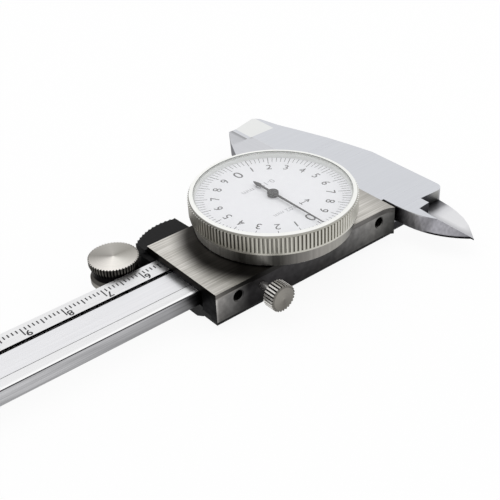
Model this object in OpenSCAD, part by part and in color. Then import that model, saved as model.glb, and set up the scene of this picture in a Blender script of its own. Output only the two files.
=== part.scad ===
// Dial caliper for 0 to 150 mm, with outside jaws, inside blades and a depth rod.
// X runs along the beam from the fixed jaw to the free end, Y across the beam towards the
// inside blades and Z out of the dial. X = 0 is the measuring plane of the outside jaws,
// Y = 0 the beam's edge beside them and Z = 0 the beam's back face. The jaws are closed.

/* [Beam] */
// Width of the beam
beam_w = 16; // [15.5:0.5:17]
// Thickness of the beam and of the fixed jaw
beam_t = 3.7; // [3.5:0.1:4.2]
// Largest opening of the jaws
travel = 150; // [100:1:200]
// Length of beam left beyond the fully opened slider
stop_zone = 11.9; // [11:0.1:20]
// Distance of the thin slot's middle from the scale edge
slot_y = 5.43; // [5.2:0.01:5.6]
// Width of the thin slot
slot_w = 0.8; // [0.7:0.05:0.9]
// Width of the strip that covers the rack
cover_w = 7.07; // [6.5:0.01:7.5]
// Thickness of the strip that covers the rack
cover_t = 0.5; // [0.4:0.05:0.6]
// How far the cover strip lies below the beam's face
cover_sink = 0.3; // [0.1:0.05:0.35]
// Thickness of the rack
rack_t = 1.1; // [1:0.05:1.15]
// How far the groove reaches under the scale ledge
undercut = 2.03; // [1.9:0.01:2.5]
// Start of the front groove, from the measuring plane
groove_start = 3; // [1:0.5:10]
// Width of the bevel along the beam's near edge
beam_bevel_w = 0.9; // [0.2:0.05:1.5]
// Depth of the bevel along the beam's near edge
beam_bevel_h = 0.3; // [0.1:0.05:0.6]
// Width of the depth rod's groove in the back
rod_groove_w = 3.4; // [3.3:0.1:4]
// Depth of the depth rod's groove
rod_groove_h = 1; // [0.98:0.01:1.1]

/* [Outside jaws] */
// Length of the outside jaws below the beam
jaw_l = 40.5; // [38:0.1:45]
// Length of the thin tips
jaw_tip_l = 8.8; // [5:0.1:12]
// Thickness of the tips at the measuring plane
jaw_tip_t = 1; // [0.6:0.1:2]
// Width of the flat land beside the measuring plane of a tip
jaw_land = 1.2; // [0.5:0.1:2]
// Width of the fixed jaw at its tip
fixed_tip_w = 7.2; // [5:0.1:9]
// Width of the fixed jaw beside the beam
fixed_jaw_w = 17.8; // [16.5:0.1:22]
// Width of the sliding jaw at its tip
slide_tip_w = 1.2; // [0.8:0.1:3]
// Width of the sliding jaw at its root
slide_jaw_w = 15.5; // [12:0.1:18]
// Gap between the closed jaws
jaw_gap = 0.02; // [0.01:0.01:0.05]

/* [Inside blades] */
// Distance of the blades' measuring edges from the outside measuring plane
blade_x = 8.7; // [8:0.1:9.5]
// Distance of the blade tips from the scale edge
blade_reach = 40.1; // [36:0.1:45]
// Height of the plane where the two blades pass each other
blade_plane = 0.6; // [0.5:0.05:0.8]
// Gap between the two blades
blade_gap = 0.1; // [0.05:0.01:0.2]
// Thickness of the sliding blade
blade_t = 1.45; // [1.2:0.05:1.5]
// How far the thick root of the sliding blade reaches beyond the slider
root_l = 5.7; // [4:0.1:6]
// Distance of the fixed jaw's near edge from the scale edge
head_y = 22.3; // [21:0.1:24]

/* [Slider] */
// Distance of the slider's free end from the measuring plane
slider_end = 54.1; // [53:0.1:60]
// Gap between the slider and the fixed jaw
slider_gap = 0.7; // [0.2:0.05:1]
// Thickness of the wall beside the scale edge
far_wall = 3.55; // [3.3:0.05:4.5]
// Thickness of the wall that holds the gib
near_wall = 5.1; // [4.6:0.1:6]
// Thickness of the frame above the beam
web_t = 0.72; // [0.5:0.02:1]
// Depth of the frame below the beam's back
wall_drop = 1.65; // [1.4:0.05:2]
// Thickness of the top plate
plate_t = 1.3; // [1:0.1:2]
// How far the near wall spreads out at the jaw end
flare = 1.1; // [0.6:0.1:1.4]
// Length of that spread
flare_l = 3.2; // [2.5:0.1:3.6]
// Thickness of the gib
gib_t = 1; // [0.8:0.05:1.2]
// Running clearance of the slider on the beam
run_gap = 0.05; // [0.03:0.01:0.08]
// Thickness of the back cover's plate
back_t = 1.5; // [1.2:0.1:1.7]
// Depth of the recess that the back cover's plate lies in
back_inset = 0.75; // [0.5:0.05:1]
// Height of the back cover's raised middle
boss_h = 1.5; // [1:0.1:2.5]

/* [Screws] */
// Diameter of the two set screws of the gib
gib_screw_d = 2.5; // [2:0.1:2.8]
// Position of the first gib screw along the beam
gib_screw_x1 = 4.7; // [4:0.1:7]
// Position of the second gib screw along the beam
gib_screw_x2 = 47.9; // [46:0.1:50]
// Diameter of the small frame screws
small_screw_d = 1.4; // [1.2:0.1:1.6]
// Position of the lock screw along the beam
lock_x = 41.3; // [38:0.1:43]
// Diameter of the lock screw's head
lock_head_d = 6.6; // [5:0.1:8]
// Length of the lock screw's head
lock_head_l = 3.4; // [2.5:0.1:6]
// Free length of the lock screw between wall and head
lock_neck = 4.1; // [2:0.1:5]
// Number of grooves round the lock screw's head
lock_knurls = 26; // [20:1:36]
// Depth of those grooves
lock_groove = 0.32; // [0.2:0.02:0.4]
// Diameter of the lock screw's shank
lock_shank_d = 1.8; // [1.6:0.1:2.2]

/* [Dial] */
// Position of the dial's centre along the beam
dial_x = 25.7; // [25:0.1:27]
// Distance of the dial's centre from the scale edge
dial_y = 8; // [7.8:0.05:8.2]
// Diameter over the bezel's knurls
bezel_d = 39.8; // [39.6:0.1:41]
// Height of the bezel
bezel_h = 5.05; // [4.9:0.05:5.5]
// Width of the bezel's smooth rim
bezel_rim = 1.3; // [1.1:0.05:1.5]
// Number of grooves round the bezel
bezel_knurls = 132; // [80:1:140]
// Depth of those grooves
bezel_groove = 0.38; // [0.2:0.02:0.4]
// How far the case's side lies inside the bezel's
case_step = 1; // [0.8:0.05:1.1]
// Height of the case below the bezel
case_h = 3.4; // [3.2:0.1:4]
// Thickness of the crystal
crystal_t = 0.65; // [0.5:0.05:0.7]
// Thickness of the dial plate
dial_t = 0.4; // [0.3:0.05:0.5]
// Depth of the dial plate's face below the rim
dial_depth = 2.05; // [1.95:0.05:2.3]
// Length of the needle from its axis to its tip
needle_l = 17.2; // [12:0.1:17.5]
// Length of the needle's tail
needle_tail = 7.2; // [5:0.1:9]

/* [Gear train] */
// Teeth of the pinion on the rack
drive_teeth = 16; // [16:1:16]
// Travel for one turn of the rack pinion
drive_turn = 10; // [10:0.1:10.2]
// Teeth of the two wheels on the drive arbor
wheel_teeth = 60; // [60:1:60]
// Teeth of the needle's pinion
centre_teeth = 12; // [12:1:12]
// Module of the wheels and the needle's pinion
wheel_module = 0.16; // [0.155:0.001:0.165]
// Share of the pitch that a tooth fills
tooth_share = 0.44; // [0.4:0.01:0.46]

/* [Thumb roller and rest] */
// Distance of the roller's axis beyond the slider's end
roller_out = 7.8; // [7.7:0.1:10]
// Diameter of the roller where it rolls on the beam's edge
roller_d = 11.6; // [11:0.1:12]
// Diameter over the roller's knurls
roller_head_d = 11.7; // [11:0.1:12.2]
// Height of the roller's knurled part
roller_head_h = 2.7; // [2.2:0.05:3]
// Height of the roller's rolling disc
roller_disc_h = 1.8; // [1.2:0.1:2.2]
// Diameter of the neck between them
roller_neck_d = 10.1; // [8:0.1:10.4]
// Height of the roller's top above the beam's face
roller_rise = 1.9; // [1.7:0.05:2.2]
// Number of grooves round the roller
roller_knurls = 50; // [40:1:90]
// Depth of those grooves
roller_groove = 0.32; // [0.2:0.02:0.36]
// Height of the rest's top above the beam's back
rest_top = 5; // [4.5:0.1:6]
// Length of the rest beside the slider
rest_l = 12.8; // [12:0.1:14]
// How far the rest reaches beyond the slider's end
rest_over = 0.7; // [0.3:0.05:0.9]
// How far the rest stands out from the slider
rest_out = 7.2; // [6.8:0.1:8]
// Radius of the serrated thumb surface
rest_r = 14.1; // [13.5:0.1:16]
// Pitch of the serrations
rest_pitch = 1.25; // [1:0.05:2]
// Depth of the serrations
rest_groove = 0.3; // [0.2:0.02:0.4]
// Thickness of the arm below the roller
arm_t = 1.2; // [1:0.1:1.4]
// Width of that arm
arm_w = 5.6; // [5:0.1:6]

/* [Hidden] */
$fn = 64;

// Colours
bright = "#dcdcde";
jaw_grey = "#c4c6ca";
warm_grey = "#b9b5ae";
dark_satin = "#7d7c7a";
ivory = "#e6e4dc";
black = "#2a2a2d";
brass = "#c9a24e";
bronze = "#a9743f";
white = "#f2f2f4";

// Small helpers: overcut makes cuts run clear through, fit is the play of fixed pieces
overcut = 1;
fit = 0.05;
skin = 0.01;

// Beam and groove
beam_end = slider_end + travel + stop_zone;
slot_near = slot_y + slot_w / 2;
ledge_y = slot_y - slot_w / 2;
groove_near = slot_near + cover_w;
cover_top = beam_t - cover_sink;
rack_top = cover_top - cover_t;
groove_floor = rack_top - rack_t;
rod_mid = beam_w / 2;
rod_w = rod_groove_w - 0.4;
rod_t = rod_groove_h - 0.1;
rod_z = 0.04;
rod_root = 8;
stop_l = 7;
stop_t = 0.9;
stop_x = beam_end - stop_l - 2;

// Slider
slider_start = slider_gap;
channel_near = beam_w + gib_t + 2 * run_gap;
far_y = -run_gap - far_wall;
near_y = channel_near + near_wall;
web_z = beam_t + 0.08;
plate_z = web_z + web_t;
top_z = plate_z + plate_t;
back_z = -wall_drop + back_inset;
back_face = back_z - back_t;
back_x = slider_start + 5.6;
back_far = far_y + 1;
back_near = near_y - 2;
boss_far = 0.2;
boss_near = channel_near - 0.05;
boss_bevel_w = 2.45;
boss_bevel_h = min(1.2, boss_h - 0.2);
back_screw_xs = [back_x + 4, slider_end - 4.6];
back_screw_ys = [(back_far - run_gap) / 2, (back_near + channel_near) / 2];
gib_z = beam_t - 1;
gib_screw_xs = [gib_screw_x1, gib_screw_x2];
gib_screw_l = near_wall - 2.4;
lock_z = beam_t / 2 + 0.67;

// Inside blades
fixed_blade_z = blade_plane + blade_gap / 2;
slide_blade_z = blade_plane - blade_gap / 2;
arm_y = channel_near + 0.2;
head_r = 2.4;
head_foot = beam_w + 0.4;

// Dial, from the case's seat upwards
case_z = top_z;
floor_t = 1;
case_d = bezel_d - 2 * case_step;
bezel_z = case_z + case_h + 0.15;
bezel_top = bezel_z + bezel_h;
bore_d = bezel_d - 2 * bezel_rim;
neck_d = bore_d - 0.4;
dial_z = bezel_top - dial_depth - dial_t;
ledge_z = dial_z - 0.3;
neck_top = ledge_z - 0.15;
wire_d = 0.6;
wire_z = bezel_z + 1.15;
wire_groove_h = wire_d + 0.1;
crystal_z = bezel_top - 0.15 - crystal_t;
needle_z = crystal_z - 0.6;
needle_t = 0.2;
hub_d = 2.7;

// Gear train: the drive arbor stands over the slot and the needle's pinion at the dial centre
pressure = 20;
addendum = 0.7;
dedendum = 1;
rack_pitch = drive_turn / drive_teeth;
drive_module = rack_pitch / PI;
drive_r = drive_module * drive_teeth / 2;
rack_line = slot_y + drive_r;
centre_gap = wheel_module * (wheel_teeth + centre_teeth) / 2;
arbor_x = dial_x + sqrt(pow(centre_gap, 2) - pow(dial_y - slot_y, 2));
mesh_angle = atan2(dial_y - slot_y, dial_x - arbor_x);
base_z = case_z + floor_t;
base_t = 0.5;
bridge_t = 0.6;
bridge_z = neck_top - bridge_t - 0.3;
wheel_t = 0.45;
wheel_z = base_z + base_t + 0.4;
wheel_gap = 0.5;
leaf_z = wheel_z - 0.2;
leaf_h = 2 * wheel_t + wheel_gap + 0.4;
pillar_r = 12.6;
pillar_angles = [mesh_angle + 180, mesh_angle + 300, mesh_angle + 60];
case_screw_dx = 7;
case_screw_ys = [far_y / 2 - 0.6, channel_near + 1.3];
bush_d = 2.5;
arbor_d = 1.5;
stem_d = 0.6;

// Thumb roller and rest
roller_x = slider_end + roller_out;
roller_y = -roller_d / 2 - run_gap;
roller_z = -0.5;
roller_top = beam_t + roller_rise;
roller_head_z = roller_top - roller_head_h;
roller_screw_d = 1.6;
arm_top = roller_z - 0.2;
arm_bottom = arm_top - arm_t;
stem_r = 1.5;
rest_x = slider_end - rest_l;
rest_peak = rest_l / 3;
rest_mid = [rest_x + rest_peak, far_y - rest_out + rest_r];
rest_low = -wall_drop - 0.25;
rest_end = slider_end + rest_over;
rest_seat = rest_out / 3;
rest_screw_d = 1.6;
rest_head_d = 3;
rest_screw_l = rest_seat + far_wall - 0.75;
rest_screw_xs = [rest_x + 3.4, slider_end - 2.4];
rest_screw_z = beam_t / 2 + 0.6;

// Shared shapes

// Point on a circle about the origin
function on_circle(r, a) = [r * cos(a), r * sin(a)];

// Curve from a to c that b pulls towards itself
function bent(a, b, c) =
    [for (t = [0:0.1:1]) pow(1 - t, 2) * a + 2 * t * (1 - t) * b + pow(t, 2) * c];

// Involute of an angle, in degrees
function involute(a) = tan(a) * 180 / PI - a;

// Half of the angle that a tooth fills at radius r
function tooth_half(r, teeth, m) =
    let (base = teeth * m / 2 * cos(pressure), a = acos(min(1, base / max(r, base))))
    180 / teeth * tooth_share + involute(pressure) - involute(a);

// Outline of a gear with involute teeth, one of them pointing along X
function gear_points(teeth, m) =
    let (
        pitch_r = teeth * m / 2,
        root = pitch_r - dedendum * m,
        tip = pitch_r + addendum * m,
        low = max(root + skin, pitch_r * cos(pressure)),
        levels = [root, low, pitch_r, (pitch_r + tip) / 2, tip]
    )
    [
        for (k = [0:teeth - 1], side = [-1, 1], i = [0:len(levels) - 1])
            let (r = side < 0 ? levels[i] : levels[len(levels) - 1 - i])
            on_circle(r, k * 360 / teeth + side * tooth_half(r, teeth, m))
    ];

// Outline of a knurled ring with flat crests and flat grooves
function knurl_points(d, count, depth) =
    let (step = 360 / count)
    [
        for (k = [0:count - 1], p = [[0.24, 0], [0.38, 1], [0.62, 1], [0.76, 0]])
            on_circle(d / 2 - p[1] * depth, (k - 0.5 + p[0]) * step)
    ];

// Screw with a slotted flat head: its shank points down and its head's underside is at z = 0
module flat_screw(d, l, head_d, head_h) {
    difference() {
        union() {
            translate([0, 0, -l]) cylinder(d = d, h = l + head_h / 2);
            cylinder(d = head_d, h = head_h);
        }
        translate([-head_d, -head_d / 10, head_h * 0.55]) cube([2 * head_d, head_d / 5, head_h]);
    }
}

// Screw with a slotted sunk head: its shank points down and its head's top is at z = 0
module sunk_screw(d, l, head_d) {
    head_h = (head_d - d) / 2;
    difference() {
        union() {
            translate([0, 0, -l]) cylinder(d = d, h = l);
            translate([0, 0, -head_h]) cylinder(d1 = d, d2 = head_d, h = head_h);
        }
        translate([-head_d, -head_d / 10, -head_h * 0.5]) cube([2 * head_d, head_d / 5, head_h]);
    }
}

// Hole for a sunk screw, with its mouth at z = 0
module sunk_hole(d, l, head_d) {
    head_h = (head_d - d) / 2;
    translate([0, 0, -l]) cylinder(d = d + 2 * fit, h = l + overcut);
    translate([0, 0, -head_h - fit]) cylinder(d1 = d, d2 = head_d + 2 * fit, h = head_h + 2 * fit);
}

// Cuts that leave a jaw's tip thin at the measuring plane: one below and one above, each
// starting at the distance w from that plane
module tip_cut(w, side) {
    drop = (beam_t - jaw_tip_t) / 2;
    for (face = [0, 1])
        translate([0, -jaw_l - overcut, face * beam_t])
            mirror([0, 0, face])
                rotate([90, 0, 180])
                    linear_extrude(jaw_tip_l + overcut)
                        polygon([[side * w, 0], [side * w, -overcut], [-side * overcut, -overcut],
                                 [-side * overcut, drop], [side * jaw_land, drop]]);
}

// Beam

// Outline of the beam with the fixed jaw
function beam_outline() = [
    [0, 0], [0, -jaw_l], [-fixed_tip_w, -jaw_l], [-fixed_tip_w - 1.5, -jaw_l + 2],
    [-fixed_tip_w - 2.7, -jaw_l + 8], [-fixed_jaw_w + 5.5, -25], [-fixed_jaw_w + 3, -16.8],
    [-fixed_jaw_w + 1.4, -9.7], [-fixed_jaw_w, -2.8],
    for (a = [180:-15:90]) [-fixed_jaw_w, head_y + 0.3] + head_r * [1 + cos(a), sin(a) - 1],
    [-blade_x - 0.8, head_y], [-blade_x - 0.8, head_y + 2.7], [-blade_x + 2.9, head_y + 3],
    [-2.9, head_y + 1], [-2.6, head_y - 1.5], [-2.6, head_foot], [0, head_foot], [0, beam_w],
    [beam_end, beam_w], [beam_end, 0]
];

// Fixed inside blade: flat back, one steep side towards its measuring edge and one curved side
module fixed_blade() {
    foot = [-1.3, head_y + 2.2];
    tip = [-blade_x, blade_reach];
    top_foot = [-2.7, head_y];
    top_tip = [-blade_x + 3.4, blade_reach - 8.7];
    hull() {
        translate([0, 0, fixed_blade_z])
            linear_extrude(skin)
                polygon([[foot[0], head_foot], each bent(foot, [-1.6, blade_reach - 6.6], tip),
                         [-blade_x, head_foot]]);
        translate([0, 0, beam_t - skin])
            linear_extrude(skin)
                polygon([[-2.6, head_foot],
                         each bent(top_foot, [-3, blade_reach - 12.6], top_tip),
                         [-blade_x + 2.9, head_y + 3], [-blade_x + 2.9, head_foot]]);
    }
}

module beam() {
    color(jaw_grey)
        difference() {
            union() {
                linear_extrude(beam_t) polygon(beam_outline());
                fixed_blade();
            }
            // Groove for the rack, open towards the slot, and its undercut below the scale
            translate([groove_start, ledge_y, groove_floor])
                cube([beam_end, groove_near - ledge_y, beam_t]);
            translate([groove_start, ledge_y - undercut, groove_floor])
                cube([beam_end, undercut + skin, rack_t]);
            // Groove for the depth rod
            translate([slider_start + rod_root - 2, rod_mid - rod_groove_w / 2, -overcut])
                cube([beam_end, rod_groove_w, rod_groove_h + overcut]);
            // Bevel along the near edge
            translate([slider_start, beam_w, beam_t])
                rotate([90, 0, 90])
                    linear_extrude(beam_end)
                        polygon([[-beam_bevel_w, 0], [0, -beam_bevel_h], [overcut, -beam_bevel_h],
                                 [overcut, overcut], [-beam_bevel_w, overcut]]);
            // Room for the sliding blade below the fixed one
            translate([-fixed_jaw_w + 0.9, arm_y - 0.2, -overcut])
                cube([fixed_jaw_w + overcut, blade_reach, fixed_blade_z + overcut]);
            // Relief where the measuring face meets the beam
            translate([0, 0, -overcut]) cylinder(r = 0.5, h = beam_t + 2 * overcut);
            tip_cut(fixed_tip_w + 0.6, 1);
            end_stop_holes();
        }
}

// Rack teeth point towards the slot, and a gap lies opposite the arbor
module rack() {
    half = rack_pitch * tooth_share / 2;
    top = addendum * drive_module;
    bottom = dedendum * drive_module;
    spread = tan(pressure);
    count = ceil((travel + 4) / rack_pitch);
    start = arbor_x - 3.5 * rack_pitch;
    teeth = [
        for (k = [0:count - 1], p = [[-half - bottom * spread, bottom], [-half + top * spread, -top],
                                     [half - top * spread, -top], [half + bottom * spread, bottom]])
            [start + k * rack_pitch + p[0], rack_line + p[1]]
    ];
    color(bright)
        translate([0, 0, groove_floor])
            linear_extrude(rack_t)
                polygon(concat([[groove_start + fit, groove_near - fit],
                                [groove_start + fit, rack_line + bottom]], teeth,
                               [[beam_end - fit, rack_line + bottom],
                                [beam_end - fit, groove_near - fit]]));
}

module rack_cover() {
    color(bright)
        translate([groove_start + fit, slot_near, rack_top])
            cube([beam_end - groove_start - 2 * fit, cover_w - fit, cover_t]);
}

module end_stop_places() {
    for (y = [beam_w / 2 - 4.7, beam_w / 2 + 4.7])
        translate([stop_x + stop_l / 2, y, -stop_t]) rotate([180, 0, 0]) children();
}

module end_stop_holes() {
    end_stop_places() sunk_hole(small_screw_d, stop_t + groove_floor - 0.4, 2.4);
}

module end_stop() {
    color(bright)
        difference() {
            translate([stop_x, 1, -stop_t]) cube([stop_l, beam_w - 2, stop_t]);
            end_stop_holes();
        }
}

module end_stop_screws() {
    color(dark_satin)
        end_stop_places() sunk_screw(small_screw_d, stop_t + groove_floor - 0.5, 2.4);
}

// Slider

// Top view of the frame, with the near wall spreading out towards the jaw
module slider_outline() {
    spread_r = (pow(flare_l, 2) + pow(flare, 2)) / (2 * flare);
    translate([slider_start, far_y]) square([slider_end - slider_start, near_y - far_y]);
    difference() {
        translate([slider_start, near_y - overcut]) square([flare_l, flare + overcut]);
        translate([slider_start + flare_l, near_y + spread_r]) circle(r = spread_r, $fn = 96);
    }
}

// Outline of the sliding outside jaw
function slide_jaw_outline() = [
    [jaw_gap, -3], [jaw_gap, -jaw_l], [slide_tip_w, -jaw_l], [slide_tip_w + 5.2, -jaw_l + 7.5],
    [slide_jaw_w - 5, -25], [slide_jaw_w - 2, -16], [slide_jaw_w, -8], [slide_jaw_w + 1, -5.8],
    [slide_jaw_w + 2.8, -4.3], [slide_jaw_w + 5.5, far_y], [slide_jaw_w + 5.5, far_y + 1],
    [slider_start, far_y + 1], [slider_start, -3]
];

// Outline of the sliding inside blade with the arm that passes under the fixed blade
function slide_blade_outline() = [
    [slider_start + overcut, arm_y], [slider_start + overcut, near_y],
    [slider_start - root_l, near_y], [-blade_x, head_y + 2.6],
    [-blade_x, blade_reach], [-blade_x - 2, blade_reach - 2.5], [-blade_x - 3.9, blade_reach - 5],
    [-blade_x - 5.45, blade_reach - 7.8], [-blade_x - 6.5, blade_reach - 10.9],
    [-blade_x - 7.1, blade_reach - 13.6], [-blade_x - 7.5, head_y + 0.5], [-blade_x - 7.5, arm_y]
];

module slide_blade() {
    // Thick root that carries the blade past the fixed jaw
    translate([slider_start - root_l, arm_y, -wall_drop])
        cube([root_l + overcut, near_y - arm_y, slide_blade_z + wall_drop - skin]);
    difference() {
        translate([0, 0, slide_blade_z - blade_t])
            linear_extrude(blade_t) polygon(slide_blade_outline());
        // Bevel on the back that leaves a narrow measuring edge
        translate([-blade_x, head_y + 2.6, slide_blade_z])
            rotate([-90, 0, 0])
                linear_extrude(blade_reach)
                    polygon([[skin, 0.3], [skin, blade_t + overcut], [-2.2, blade_t + overcut],
                             [-1.6, blade_t], [-skin, 0.3]]);
    }
}

module slider() {
    color(warm_grey)
        difference() {
            union() {
                difference() {
                    translate([0, 0, -wall_drop])
                        linear_extrude(plate_z + wall_drop) slider_outline();
                    // Channel for the beam and the gib
                    translate([-overcut, -run_gap, -wall_drop - overcut])
                        cube([slider_end + 2 * overcut, channel_near + run_gap,
                              web_z + wall_drop + overcut]);
                    // Recess for the back cover
                    translate([back_x, back_far, -wall_drop - overcut])
                        cube([slider_end, back_near - back_far, back_inset + overcut]);
                }
                difference() {
                    linear_extrude(beam_t) polygon(slide_jaw_outline());
                    tip_cut(slide_tip_w + 5.2, -1);
                }
                slide_blade();
            }
            gib_screw_holes();
            lock_screw_hole();
            back_cover_holes();
            rest_holes();
            case_holes();
            translate([arbor_x, slot_y, web_z - overcut])
                cylinder(d = bush_d + 2 * fit, h = web_t + 2 * overcut);
        }
}

module top_plate() {
    color(warm_grey)
        difference() {
            translate([0, 0, plate_z]) linear_extrude(plate_t) slider_outline();
            case_holes();
            translate([arbor_x, slot_y, plate_z - overcut])
                cylinder(d = bush_d + 2 * fit, h = plate_t + 2 * overcut);
        }
}

module gib_screw_places() {
    for (x = gib_screw_xs)
        translate([x, channel_near, gib_z]) rotate([-90, 0, 0]) children();
}

module gib_screw_holes() {
    mouth = 0.3;
    gib_screw_places() {
        translate([0, 0, -overcut]) cylinder(d = gib_screw_d, h = near_wall + flare + 2 * overcut);
        translate([0, 0, near_wall - mouth])
            cylinder(d1 = gib_screw_d, d2 = gib_screw_d + 2 * mouth, h = mouth + skin);
    }
}

module gib() {
    color(bronze)
        difference() {
            translate([slider_start + 1.5, beam_w + run_gap, 0.05])
                cube([slider_end - slider_start - 2.5, gib_t, beam_t - 0.1]);
            gib_screw_places() translate([0, 0, -run_gap - 0.5]) cylinder(d = 1.3, h = 1);
        }
}

module gib_screws() {
    color(dark_satin)
        gib_screw_places()
            difference() {
                union() {
                    cylinder(d = gib_screw_d - 2 * fit, h = gib_screw_l);
                    translate([0, 0, -run_gap - 0.45]) cylinder(d = 1.2, h = 0.6);
                }
                translate([-gib_screw_d, -0.25, gib_screw_l - 0.8])
                    cube([2 * gib_screw_d, 0.5, overcut]);
            }
}

module back_cover_places() {
    for (x = back_screw_xs, y = back_screw_ys)
        translate([x, y, back_face]) rotate([180, 0, 0]) children();
}

module back_cover_holes() {
    back_cover_places() sunk_hole(small_screw_d, back_t + 1.9, 2.3);
}

module back_cover() {
    rim = 0.05;
    tongue_l = 16;
    color(black)
        difference() {
            union() {
                translate([back_x + rim, back_far + rim, back_face])
                    cube([slider_end - back_x - rim, back_near - back_far - 2 * rim, back_t]);
                // Rim that covers the edges of the frame
                translate([slider_start + rim, far_y + 2 * rim, back_face])
                    cube([slider_end - slider_start - rim, near_y - far_y - 4 * rim,
                          -wall_drop - back_face]);
                translate([back_x + rim, run_gap, back_face + rim])
                    cube([slider_end - back_x - rim, channel_near - 2 * run_gap,
                          -back_face - rim - 0.06]);
                translate([back_x + 2, 0, back_face])
                    rotate([90, 0, 90])
                        linear_extrude(slider_end - back_x - 2)
                            polygon([[boss_far, skin], [boss_far, boss_bevel_h - boss_h],
                                     [boss_far + boss_bevel_w, -boss_h],
                                     [boss_near - boss_bevel_w, -boss_h],
                                     [boss_near, boss_bevel_h - boss_h], [boss_near, skin]]);
                translate([slider_start + rod_root, rod_mid - rod_w / 2 + 0.1, -0.5])
                    cube([tongue_l, rod_w - 0.2, 0.5 + rod_z]);
            }
            back_cover_holes();
            rod_screw_holes();
        }
}

module back_cover_screws() {
    color(dark_satin) back_cover_places() sunk_screw(small_screw_d, back_t + 1.8, 2.3);
}

module rod_screw_places() {
    for (x = [3, 12])
        translate([slider_start + rod_root + x, rod_mid, rod_z + rod_t]) children();
}

module rod_screw_holes() {
    rod_screw_places() sunk_hole(1, 3.1, 2);
}

module depth_rod() {
    start = slider_start + rod_root;
    color(bright)
        difference() {
            translate([0, 0, rod_z])
                linear_extrude(rod_t)
                    polygon([[start, rod_mid - rod_w / 2], [beam_end - 2, rod_mid - rod_w / 2],
                             [beam_end, rod_mid], [beam_end, rod_mid + rod_w / 2],
                             [start, rod_mid + rod_w / 2]]);
            rod_screw_holes();
        }
}

module depth_rod_screws() {
    color(dark_satin) rod_screw_places() sunk_screw(1, 3, 2);
}

// Thumb rest

module rest_screw_places() {
    for (x = rest_screw_xs)
        translate([x, far_y - rest_seat, rest_screw_z]) rotate([90, 0, 0]) children();
}

module rest_holes() {
    rest_screw_places()
        translate([0, 0, -rest_screw_l - 2 * fit])
            cylinder(d = rest_screw_d + 2 * fit, h = rest_screw_l + 2 * fit);
}

// Serrated front of the rest: low saw teeth along an arc
function rest_teeth() =
    let (
        first = acos((rest_x + rest_groove - rest_mid[0]) / rest_r),
        last = acos((rest_end - rest_mid[0]) / rest_r),
        count = round(rest_r * (first - last) * PI / 180 / rest_pitch),
        step = (first - last) / count
    )
    [
        for (k = [0:count - 1], p = [[0, 0], [0.45, 1], [0.75, 1]])
            rest_mid + on_circle(rest_r - p[1] * rest_groove, -first + (k + p[0]) * step),
        rest_mid + on_circle(rest_r, -last)
    ];

module thumb_rest() {
    play = 0.35;
    color(black)
        difference() {
            union() {
                translate([0, 0, rest_low])
                    linear_extrude(rest_top - rest_low)
                        polygon(concat([[rest_x, far_y]], rest_teeth(), [[rest_end, far_y]]));
                // Foot in front of the slider's end, beside the beam
                translate([slider_end, far_y - 1, rest_low])
                    cube([2 * rest_over, far_wall + 1 - play, beam_t - rest_low]);
                // Arm below the roller
                translate([0, 0, arm_bottom])
                    linear_extrude(arm_t)
                        union() {
                            translate([slider_end - arm_w, roller_y - arm_w / 2])
                                square([roller_out + arm_w, arm_w / 2 - roller_y + far_y]);
                            translate([slider_end, roller_y - arm_w / 2])
                                square([roller_out, arm_w]);
                            translate([roller_x, roller_y]) circle(d = arm_w + 2);
                        }
            }
            // Room for the roller
            translate([roller_x, roller_y, roller_z - 0.1]) cylinder(d = roller_d + 0.8, h = 10);
            rest_screw_places() {
                translate([0, 0, -rest_seat - overcut])
                    cylinder(d = rest_screw_d + 2 * fit, h = rest_seat + 2 * overcut);
                cylinder(d = rest_head_d + 0.4, h = rest_out);
            }
            translate([roller_x, roller_y, arm_bottom - overcut])
                cylinder(r = stem_r + fit, h = arm_t + 2 * overcut);
        }
}

module thumb_rest_screws() {
    color(dark_satin)
        rest_screw_places() flat_screw(rest_screw_d, rest_screw_l, rest_head_d, rest_seat / 2);
}

module thumb_roller() {
    bevel = 0.6;
    taper = 1.3;
    crown = 0.1;
    disc_top = roller_z + roller_disc_h;
    // Diameters over the knurls at the lower and upper end of the tapered part
    low_d = roller_neck_d + 2 * roller_groove + 2 * fit;
    high_d = roller_head_d - 2 * fit;
    bore_depth = 4;
    color(warm_grey)
        translate([roller_x, roller_y, 0])
            difference() {
                union() {
                    // Disc that rolls on the beam's edge, and the neck above it
                    rotate_extrude($fn = 96)
                        polygon([[0, roller_z], [roller_d / 2, roller_z],
                                 [roller_d / 2, disc_top - bevel], [roller_neck_d / 2, disc_top],
                                 [roller_neck_d / 2, roller_head_z + taper / 2],
                                 [0, roller_head_z + taper / 2]]);
                    // Knurled head, narrower towards the disc
                    translate([0, 0, roller_head_z])
                        linear_extrude(taper, scale = high_d / low_d)
                            polygon(knurl_points(low_d, roller_knurls,
                                                 roller_groove * low_d / high_d));
                    translate([0, 0, roller_head_z + taper])
                        linear_extrude(roller_head_h - taper - crown)
                            polygon(knurl_points(roller_head_d, roller_knurls, roller_groove));
                    translate([0, 0, roller_top - crown])
                        cylinder(d1 = roller_head_d - 2 * roller_groove - 2 * fit, d2 = 2 * crown,
                                 h = crown);
                    translate([0, 0, arm_bottom - 2 * fit])
                        cylinder(r = stem_r, h = roller_z - arm_bottom + 4 * fit);
                }
                translate([0, 0, arm_bottom - overcut])
                    cylinder(d = roller_screw_d + 2 * fit, h = bore_depth + overcut);
            }
}

module roller_screw() {
    color(dark_satin)
        translate([roller_x, roller_y, arm_bottom - 2 * fit])
            rotate([180, 0, 0]) flat_screw(roller_screw_d, 3.8, 4.2, 0.8);
}

// Lock screw

module lock_screw_hole() {
    translate([lock_x, channel_near - overcut, lock_z])
        rotate([-90, 0, 0]) cylinder(d = lock_shank_d + 0.1, h = near_wall + 2 * overcut);
}

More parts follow.
